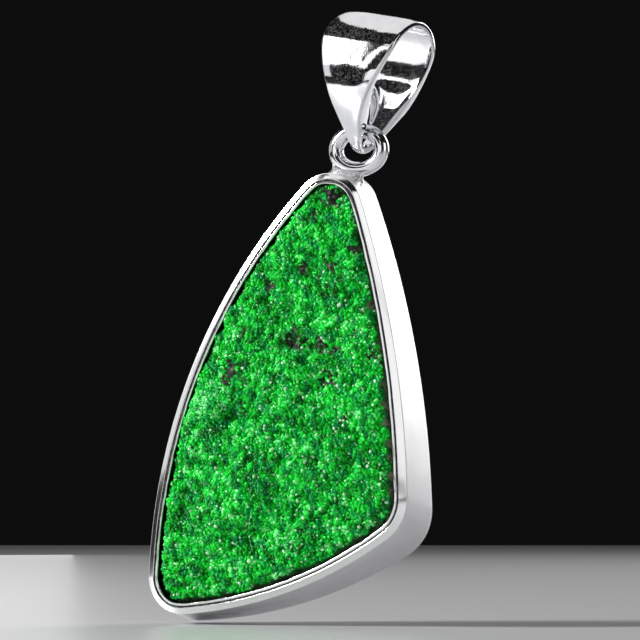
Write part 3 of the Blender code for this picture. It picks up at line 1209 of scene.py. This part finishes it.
    def places(self, spacing: float, random: np.random.Generator) -> tuple[np.ndarray, np.ndarray]:
        """Where a layer's crystals sit: a close lattice, shaken, kept inside the border and off bare places.

        Args:
            spacing: The lattice's spacing.
            random: The random generator.

        Returns:
            The places, and their distances from the border.
        """
        low, high = self.border.min(axis=0), self.border.max(axis=0)
        row_height = spacing * math.sqrt(3) / 2
        rows = np.arange(int((high[1] - low[1]) / row_height) + 1)
        columns = np.arange(int((high[0] - low[0]) / spacing) + 2)
        x = low[0] + (columns[None] + 0.5 * (rows[:, None] % 2)) * spacing
        z = np.broadcast_to(low[1] + rows[:, None] * row_height, x.shape)
        lattice = np.stack([x, z], -1).reshape(-1, 2)
        lattice = lattice + random.normal(0.0, spacing * self.shaken, lattice.shape)
        edge = self.edge_distance(lattice)
        keep = (edge > self.clear) & (random.random(len(lattice)) > self.bareness(lattice) * self.missing)
        return lattice[keep], edge[keep]

    @staticmethod
    def crystal() -> tuple[np.ndarray, np.ndarray]:
        """A rhombic dodecahedron: corners of a cube and of an octahedron twice as far, in twelve diamonds.

        Returns:
            Its fourteen points, one unit from middle to face, and its twelve faces.
        """
        corners = np.array([(x, y, z) for x in (-1, 1) for y in (-1, 1) for z in (-1, 1)], dtype=float)
        tips = np.concatenate([np.eye(3), -np.eye(3)]) * 2.0
        points = np.concatenate([corners, tips]) / math.sqrt(2.0)
        weight = (4, 2, 1)
        faces = []
        for first, second, third in ((0, 1, 2), (0, 2, 1), (1, 2, 0)):
            for a, b in ((1, 1), (1, 0), (0, 1), (0, 0)):
                low = weight[first] * a + weight[second] * b
                loop = [11 + first - 3 * a, low + weight[third], 11 + second - 3 * b, low]
                normal = np.cross(points[loop[1]] - points[loop[0]], points[loop[2]] - points[loop[0]])
                faces.append(loop if normal @ points[loop].mean(axis=0) > 0 else loop[::-1])
        return points, np.array(faces)

    def painted_glint_density(self, places: np.ndarray) -> np.ndarray:
        """How many painted glints there are: in clusters, and few at the top and on the smooth mound.

        Args:
            places: X and Z of each place.

        Returns:
            The share of painted glints that each place keeps, from 0 to 1.
        """
        lower = np.clip((-places[:, 1] - 4.0) / 12.0, 0.25, 1.0)
        clusters = np.clip(self.painted_glint_share + self.painted_glint_waves.at(places), 0.0, 1.0)
        velvet = np.clip(1.0 - 3.0 * self.bumps(places, self.pale[:1]), 0.0, 1.0)
        return lower * clusters * velvet

    @staticmethod
    def rotations(count: int, random: np.random.Generator) -> np.ndarray:
        """Random turns, as the matrices of quaternions w + x i + y j + z k of length one.

        Args:
            count: How many.
            random: The random generator.

        Returns:
            Matrices of shape (count, 3, 3).
        """
        turn = random.normal(size=(count, 4))
        turn /= np.linalg.norm(turn, axis=1)[:, None]
        w, x, y, z = turn.T
        return np.stack([
            np.stack([1 - 2 * (y * y + z * z), 2 * (x * y - z * w), 2 * (x * z + y * w)], -1),
            np.stack([2 * (x * y + z * w), 1 - 2 * (x * x + z * z), 2 * (y * z - x * w)], -1),
            np.stack([2 * (x * z - y * w), 2 * (y * z + x * w), 1 - 2 * (x * x + y * y)], -1)], 1)

    def layer(self, layer: CrystalLayer, random: np.random.Generator) -> Shell:
        """One layer of crystals: the dodecahedron, sized, turned at random and half sunk.

        Args:
            layer: The layer's sizes.
            random: The random generator.

        Returns:
            Its crystals, with the values "tone", "rock" and "cool", and the value that paints glints as pale
            colour.
        """
        places, edge = self.places(layer.spacing, random)
        if layer.has_painted_glints:
            keep = random.random(len(places)) < self.painted_glint_density(places)
            places, edge = places[keep], edge[keep]
        count = len(places)
        size = layer.smallest + (layer.largest - layer.smallest) * random.beta(*layer.shape, count)
        # lightening by the pale places, partly painted light on the raised mounds; it also shrinks and cools the
        # crystals
        lighten = self.bumps(places, self.pale)
        size *= 1.0 - self.shrunk * np.clip(lighten, 0.0, self.most_shrunk)
        rotation = self.rotations(count, random)
        base, faces = self.crystal()
        stretch = random.uniform(*self.stretch, (count, 1, 3))
        points = (base * stretch) @ np.swapaxes(rotation, 1, 2) * size[:, None, None]
        depth = self.height(places, edge) + layer.proud + size * random.uniform(*self.raised, count)
        middle = np.stack([places[:, 0], self.outline.front_y - depth, places[:, 1]], -1)
        tone = self.tone + self.tone_waves[0].at(places) + self.tone_waves[1].at(places)
        # the dark places darken the tone, as painted shade in the hollows; the pale places lighten it, partly as
        # painted light on the raised mounds
        tone += self.tone_spread * random.normal(size=count) + lighten - self.bumps(places, self.dark)
        # painted glints: a few crystals made pale at random
        tone += self.bright * (random.random(count) < self.painted_glint_tone_share)
        values = {
            "tone": np.clip(tone, 0.0, 1.0),
            "rock": np.clip(self.bareness(places) * self.grey[0] - random.random(count) * self.grey[1], 0.0, 1.0),
            "cool": np.clip(self.cool + self.cool_waves.at(places) + self.cool_if_pale * lighten, 0.0, 1.0),
            # painted glints: how pale each crystal of the glint layer is
            "painted_glint": random.uniform(*self.painted_glint_range, count) if layer.has_painted_glints else np.zeros(count),
        }
        number = np.arange(count)[:, None, None] * len(base) + faces
        return Shell((points + middle[:, None]).reshape(-1, 3), number.reshape(-1, 4),
                     values={key: np.repeat(value, len(base)) for key, value in values.items()})

    def make(self, origin: np.ndarray) -> None:
        """Build the slab and its crystals.

        Args:
            origin: The ring's middle, in millimetres.
        """
        rock = self.rock().build("druse_rock", origin, 60.0)
        finish_piece(rock, DruseRock("druse_rock").make(), Body.PENDANT, (Node.SLAB,))
        green = GarnetGreen("garnet_green").make()
        random = np.random.default_rng(self.seed)
        under, over = (self.layer(layer, random) for layer in self.layers)
        lower, middle, upper = under.parts(*(len(part) for part in self.crystal()), 3)
        # the pale crystals are painted glints
        crystals = {"upper": upper, "middle": middle, "lower": lower, "over": over,
                    "pale": self.layer(self.painted_glint_layer, random)}
        for name, shell in crystals.items():
            finish_piece(shell.build(f"garnets_{name}", origin, None), green, Body.PENDANT)


@dataclass
class HangingRing:
    """The soldered ring, a little wider than tall, and the solder that holds it."""

    half_width: float = 2.1
    half_height: float = 1.65
    wire: float = 0.64
    steps: int = 120
    wire_steps: int = 28
    # share of the wire's radius, number round the ring and phase of its swellings
    swellings: tuple = ((0.012, 3, 1.0), (0.008, 7, 0.0))
    # the solder's half widths and middle along X and Y at the wire, and what is added down to the wall
    solder_half: tuple = ((1.4, 0.3), (0.48, 1.1))
    solder_middle: tuple = ((-0.85, -0.25), (-0.1, -0.35))
    solder_waist: float = 0.1
    solder_rows: int = 30
    solder_steps: int = 88
    solder_waves: Waves = Waves(1.0, 50, 0.35, 1.3)
    solder_relief: float = 0.03
    # how far the solder reaches into the wire and into the wall, and the part of the ring's width it may meet
    into_wire: float = 0.15
    into_wall: float = 0.22
    met: float = 0.96
    # the part of the outline that is the setting's top
    wall_from: float = -9.0

    def shell(self) -> Shell:
        """A wire of radius r carried round the ellipse (a cos u, b sin u), a little uneven along it.

        Returns:
            The wire.
        """
        u = np.linspace(0.0, TURN, self.steps, endpoint=False)[:, None]
        v = np.linspace(0.0, TURN, self.wire_steps, endpoint=False)[None]
        out = np.stack([self.half_height * np.cos(u), self.half_width * np.sin(u)], -1)
        out /= np.linalg.norm(out, axis=-1, keepdims=True)
        swellings = (share * np.sin(number * u + phase) for share, number, phase in self.swellings)
        radius = self.wire * sum(swellings, 1.0)
        x = self.half_width * np.cos(u) + radius * np.cos(v) * out[..., 0]
        z = self.half_height * np.sin(u) + radius * np.cos(v) * out[..., 1]
        y = radius * np.sin(v)
        return Shell.of_rings(np.stack([x, y, z], -1), True)

    def solder(self, outline: SettingOutline) -> Shell:
        """The solder: closed loops from inside the wire down into the rim wall.

        With w from 0 at the wire to 1 at the wall, a loop is an ellipse whose half widths shrink by a sine
        of w towards the waist, and its height runs from the wire's own curve to the wall's top.

        Args:
            outline: The setting's outline, whose top the solder sits on.

        Returns:
            The solder.
        """
        w = np.linspace(0.0, 1.0, self.solder_rows)[:, None]
        turn = np.linspace(0.0, TURN, self.solder_steps, endpoint=False)[None]
        (half_x, more_x), (half_y, more_y) = self.solder_half
        (middle_x, on_x), (middle_y, on_y) = self.solder_middle
        half_x = half_x + more_x * w - self.solder_waist * np.sin(math.pi * w) ** 2
        x = middle_x + on_x * w + half_x * np.cos(turn)
        y = middle_y + on_y * w ** 2 + (half_y + more_y * w ** 2) * np.sin(turn)
        on_ring = np.clip(x, -self.half_width * self.met, self.half_width * self.met) / self.half_width
        from_wire = -self.half_height * np.sqrt(1.0 - on_ring ** 2) - self.into_wire
        wall = outline.front[outline.front[:, 1] > self.wall_from]
        wall = wall[np.argsort(wall[:, 0])]
        z_wall = np.interp(x, wall[:, 0], wall[:, 1]) - self.into_wall
        points = np.stack([x, y, from_wire + (z_wall - from_wire) * w], -1)
        lumps = self.solder_waves.at(points) * np.sin(math.pi * np.clip(w * 0.9 + 0.05, 0, 1))
        outwards = np.stack(np.broadcast_arrays(np.cos(turn), np.sin(turn), 0.2, w)[:3], -1)
        return Shell.of_rings(points + lumps[..., None] * outwards * self.solder_relief, False)

    def make(self, origin: np.ndarray, outline: SettingOutline) -> None:
        """Build the ring and its solder.

        Args:
            origin: The ring's middle, in millimetres.
            outline: The setting's outline.
        """
        ring = self.shell().build("soldered_ring", origin, 60.0)
        silver = PolishedSilver("ring_silver", gloss=(0.05, 0.14))
        finish_piece(ring, silver.make(), Body.PENDANT, (Node.RING,))
        solder = self.solder(outline).build("ring_solder", origin, 60.0)
        finish_piece(solder, SolderSilver("solder_silver").make(), Body.PENDANT)


@dataclass
class FoldedBail:
    """The bail: a strip folded over into a loop, wide over the top and closed at the tip."""

    # Y and Z of the outer surface, Y and Z of the inner surface, and the width, from the top down the
    # front, round the tip and up the back
    stations: tuple = (
        (0.0, 9.92, 0.0, 9.25, 7.3), (-1.35, 9.5, -1.15, 8.88, 7.4), (-2.6, 8.62, -2.15, 8.1, 7.5),
        (-3.42, 7.3, -2.85, 6.98, 7.3), (-3.82, 5.4, -3.14, 5.3, 6.1), (-3.82, 3.6, -2.86, 3.6, 4.6),
        (-3.42, 2.1, -2.1, 2.3, 3.4), (-2.72, 0.8, -1.38, 1.15, 2.35), (-1.92, -0.35, -1.02, 0.15, 1.65),
        (-1.2, -1.28, -0.9, -0.5, 1.2), (-0.62, -1.84, -0.55, -0.98, 0.85), (0.0, -2.0, 0.0, -1.15, 0.6),
        (0.62, -1.84, 0.6, -1.04, 0.85), (1.2, -1.28, 1.13, -0.49, 1.2), (1.92, -0.35, 1.44, 0.22, 1.65),
        (2.72, 0.8, 1.9, 1.22, 2.35), (3.4, 2.1, 2.3, 2.35, 3.4), (3.68, 3.6, 2.75, 3.6, 4.6),
        (3.6, 5.4, 2.98, 5.3, 6.1), (3.32, 7.3, 2.72, 7.0, 7.3), (2.6, 8.85, 2.12, 8.32, 7.5),
        (1.38, 9.76, 1.18, 9.1, 7.4),
    )
    twist: float = -12.0
    tilt: float = 12.0
    shift: float = 0.55
    outer_round: float = 0.2
    inner_round: float = 0.09
    crown: float = 0.16
    sheet: float = 0.58
    back_sheet: float = 0.7
    least_hollow: float = 0.07
    steps: int = 9
    face_steps: int = 15
    round_steps: int = 5

    def shell(self) -> Shell:
        """Sections set side by side along the fold.

        Across the strip, u runs from -1 to 1. The outer face falls away from the middle as crown u^4, the
        corners are quarter circles, and the inner face is hollowed as (thickness - sheet) (1 - |u|^5).

        Returns:
            The bail, before it is turned as it hangs.
        """
        loop = closed_curve(np.array(self.stations), self.steps)
        outer, inner, half = loop[:, :2], loop[:, 2:4], loop[:, 4:] / 2
        through = outer - inner
        thickness = np.linalg.norm(through, axis=1)[:, None]
        through = through / thickness
        crown = self.crown * np.clip(half / 3.0, 0.1, 1.0)
        big = np.minimum(self.outer_round, half * 0.5)
        small = np.minimum(self.inner_round, half * 0.3)
        sheet = np.where(outer[:, :1] > 0.0, self.back_sheet, self.sheet)
        hollow = np.maximum(thickness - sheet, self.least_hollow) * np.clip((half - 0.5) / 0.5, 0.0, 1.0)
        u = np.linspace(-1.0, 1.0, self.face_steps)[None]
        turn = np.linspace(0.0, math.pi / 2, self.round_steps + 2)[None, 1:-1]
        sine, cosine = np.sin(turn), np.cos(turn)
        # position across the strip and depth below the outer face, from the outer face round to itself
        section = (
            (u * (half - big), crown * u ** 4),
            (half - big + big * sine, crown + big * (1 - cosine)),
            (half - small + small * cosine, thickness - small + small * sine),
            (-u * (half - small), thickness - hollow * (1 - np.abs(u) ** 5)),
            (-(half - small) - small * sine, thickness - small + small * cosine),
            (-(half - big) - big * cosine, crown + big * (1 - sine)),
        )
        x, depth = (np.concatenate(parts, axis=1) for parts in zip(*section))
        in_section = outer[:, None] - through[:, None] * depth[..., None]
        return Shell.of_rings(np.concatenate([x[..., None], in_section], axis=-1), True)

    def make(self, hinge: np.ndarray) -> None:
        """Build the bail, turned as it hangs.

        Args:
            hinge: The middle of the ring's top wire, in millimetres.
        """
        shell = self.shell()
        tilt = Euler((0.0, math.radians(self.tilt), 0.0)).to_matrix()
        twist = Euler((0.0, 0.0, math.radians(self.twist))).to_matrix()
        shell.points = shell.points @ np.array(twist @ tilt).T
        bail = shell.build("folded_bail", hinge + np.array([self.shift, 0.0, 0.0]), 40.0)
        silver = PolishedSilver("bail_silver", gloss=(0.02, 0.09), smear_size=1.6)
        finish_piece(bail, silver.make(), Body.BAIL, (Node.BAIL,))


# ---------------------------------------------------------------------------------------------- studio


def direction(azimuth: float, elevation: float) -> np.ndarray:
    """The direction (sin a cos e, -cos a cos e, sin e) from the pendant.

    Args:
        azimuth: Degrees to the right of the pendant's front.
        elevation: Degrees above level.

    Returns:
        The direction, of length one.
    """
    a, e = math.radians(azimuth), math.radians(elevation)
    return np.array([math.sin(a) * math.cos(e), -math.cos(a) * math.cos(e), math.sin(e)])


@dataclass(frozen=True)
class Softbox:
    """A soft light seen from the pendant: direction and roll in degrees, distance and size in millimetres.

    Azimuth 0 is in front of the pendant and 90 at its right. Brightness 1 shows as white in a mirror.
    """

    name: str
    azimuth: float
    elevation: float
    size: tuple[float, float]
    brightness: float
    distance: float = 420.0
    roll: float = 0.0

    def make(self, aim: np.ndarray) -> None:
        """Build the light; its power is pi times brightness times area.

        Args:
            aim: The point that it faces, in millimetres.
        """
        data = bpy.data.lights.new(self.name, "AREA")
        data.shape = "RECTANGLE"
        data.size, data.size_y = self.size[0] * MM, self.size[1] * MM
        data.energy = math.pi * self.brightness * data.size * data.size_y
        outwards = Vector(direction(self.azimuth, self.elevation))
        light = bpy.data.objects.new(self.name, data)
        light.location = Vector(aim) * MM + outwards * self.distance * MM
        turned = Quaternion((0.0, 0.0, 1.0), math.radians(self.roll))
        light.rotation_euler = ((-outwards).to_track_quat("-Z", "Y") @ turned).to_euler()
        light.visible_camera = False
        bpy.context.scene.collection.objects.link(light)


@dataclass
class Studio:
    """The camera at the photograph's angle, the floor, whose sizes are in metres, and the lights."""

    azimuth: float = 25.0
    elevation: float = -3.0
    distance: float = 300.0
    pixels_per_mm: float = 11.8
    frame_pixels: float = 640.0
    sensor: float = 36.0
    ring_pixel: tuple[float, float] = (359.0, 150.0)
    clip: tuple[float, float] = (0.005, 20.0)
    floor_half_width: float = 1.3
    floor_in_front: float = 0.9
    floor_behind: float = 0.61
    floor_gap: float = 0.0002
    world_colour: Colour = (0.5, 0.52, 0.55)
    world_strength: float = 0.008
    softboxes: tuple[Softbox, ...] = (
        Softbox("key_left", -59.0, 29.2, (168.0, 198.0), 1.5, roll=14.0),
        Softbox("key_core", -55.4, 29.2, (82.0, 142.0), 66.0, 415.0, roll=14.0),
        Softbox("key_right", -36.5, 27.5, (52.0, 194.0), 1.3, roll=-24.0),
        Softbox("strip_left", -68.5, 14.0, (136.0, 148.0), 0.75),
        Softbox("fill_left", -98.0, 18.0, (230.0, 220.0), 0.4),
        Softbox("front", -8.0, 5.0, (440.0, 90.0), 0.95),
        Softbox("front_high", 12.5, 18.5, (84.0, 112.0), 1.0),
        Softbox("front_top", -2.0, 44.0, (330.0, 85.0), 0.8),
        Softbox("overhead", 180.0, 66.0, (415.0, 520.0), 0.8),
        Softbox("side_right", 76.0, 10.0, (220.0, 260.0), 1.3),
        Softbox("back_right", 158.0, 20.0, (280.0, 280.0), 2.8),
        Softbox("back_left", -135.0, 5.0, (200.0, 160.0), 0.9),
    )

    def axes(self) -> tuple[np.ndarray, np.ndarray, np.ndarray]:
        """The camera's backward, right and upward directions, with up as back x right.

        Returns:
            The three directions, of length one.
        """
        a = math.radians(self.azimuth)
        back = direction(self.azimuth, self.elevation)
        right = np.array([math.cos(a), math.sin(a), 0.0])
        return back, right, np.cross(back, right)

    def camera(self, ring: np.ndarray) -> np.ndarray:
        """Place the camera so that the ring's middle falls on its own pixel.

        Args:
            ring: The ring's middle, in millimetres.

        Returns:
            The point that the camera looks at, in millimetres.
        """
        back, right, up = self.axes()
        half = self.frame_pixels / 2
        aim = (ring + right * (half - self.ring_pixel[0]) / self.pixels_per_mm
               + up * (self.ring_pixel[1] - half) / self.pixels_per_mm)
        data = bpy.data.cameras.new("camera")
        data.sensor_width = self.sensor
        data.lens = self.sensor * self.pixels_per_mm * self.distance / self.frame_pixels
        data.clip_start, data.clip_end = self.clip
        camera = bpy.data.objects.new("camera", data)
        camera.location = Vector(aim + back * self.distance) * MM
        camera.rotation_euler = Vector(-back).to_track_quat("-Z", "Y").to_euler()
        bpy.context.scene.collection.objects.link(camera)
        bpy.context.scene.camera = camera
        return aim

    def floor(self, height: float) -> None:
        """Lay the floor, square to the camera.

        Args:
            height: Its height, in metres.
        """
        mesh = bpy.data.meshes.new("floor")
        back, right, _ = self.axes()
        near, far = self.floor_in_front, -self.floor_behind
        corners = [right * side * self.floor_half_width + np.array([back[0], back[1], 0.0]) * away
                   for side, away in ((-1, near), (1, near), (1, far), (-1, far))]
        mesh.from_pydata([(corner[0], corner[1], height) for corner in corners], [], [(0, 1, 2, 3)])
        floor = bpy.data.objects.new("floor", mesh)
        mesh.materials.append(PaleTable("pale_table").make())
        bpy.context.scene.collection.objects.link(floor)
        floor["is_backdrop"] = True

    def make(self, ring: np.ndarray, lowest: float) -> None:
        """Build the studio round the pendant.

        Args:
            ring: The ring's middle, in millimetres.
            lowest: The lowest point of the pendant, in metres.
        """
        aim = self.camera(ring)
        self.floor(lowest - self.floor_gap)
        for softbox in self.softboxes:
            softbox.make(aim)
        world = bpy.data.worlds.new("studio")
        world.use_nodes = True
        background = world.node_tree.nodes["Background"]
        background.inputs["Color"].default_value = (*self.world_colour, 1.0)
        background.inputs["Strength"].default_value = self.world_strength
        bpy.context.scene.world = world
        bpy.context.scene.view_settings.view_transform = "Standard"


def main() -> None:
    """Build the pendant's pieces in order, and the studio round them."""
    logging.basicConfig(level=logging.INFO, format="%(name)s: %(message)s")
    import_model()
    cad_box = [[float(part) for part in corner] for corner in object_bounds()]
    low, high = (np.array(corner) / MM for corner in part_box(Node.RING.value))
    ring_middle = (low + high) / 2
    ring = HangingRing()
    hinge = ring_middle + np.array([0.0, 0.0, ring.half_height])
    outline = SettingOutline()

    RimWall(outline).make(ring_middle)
    DruseSlab(outline).make(ring_middle)
    ring.make(ring_middle, outline)
    FoldedBail().make(hinge)
    Studio().make(ring_middle, cad_box[0][2])


if __name__ == "__main__":
    main()
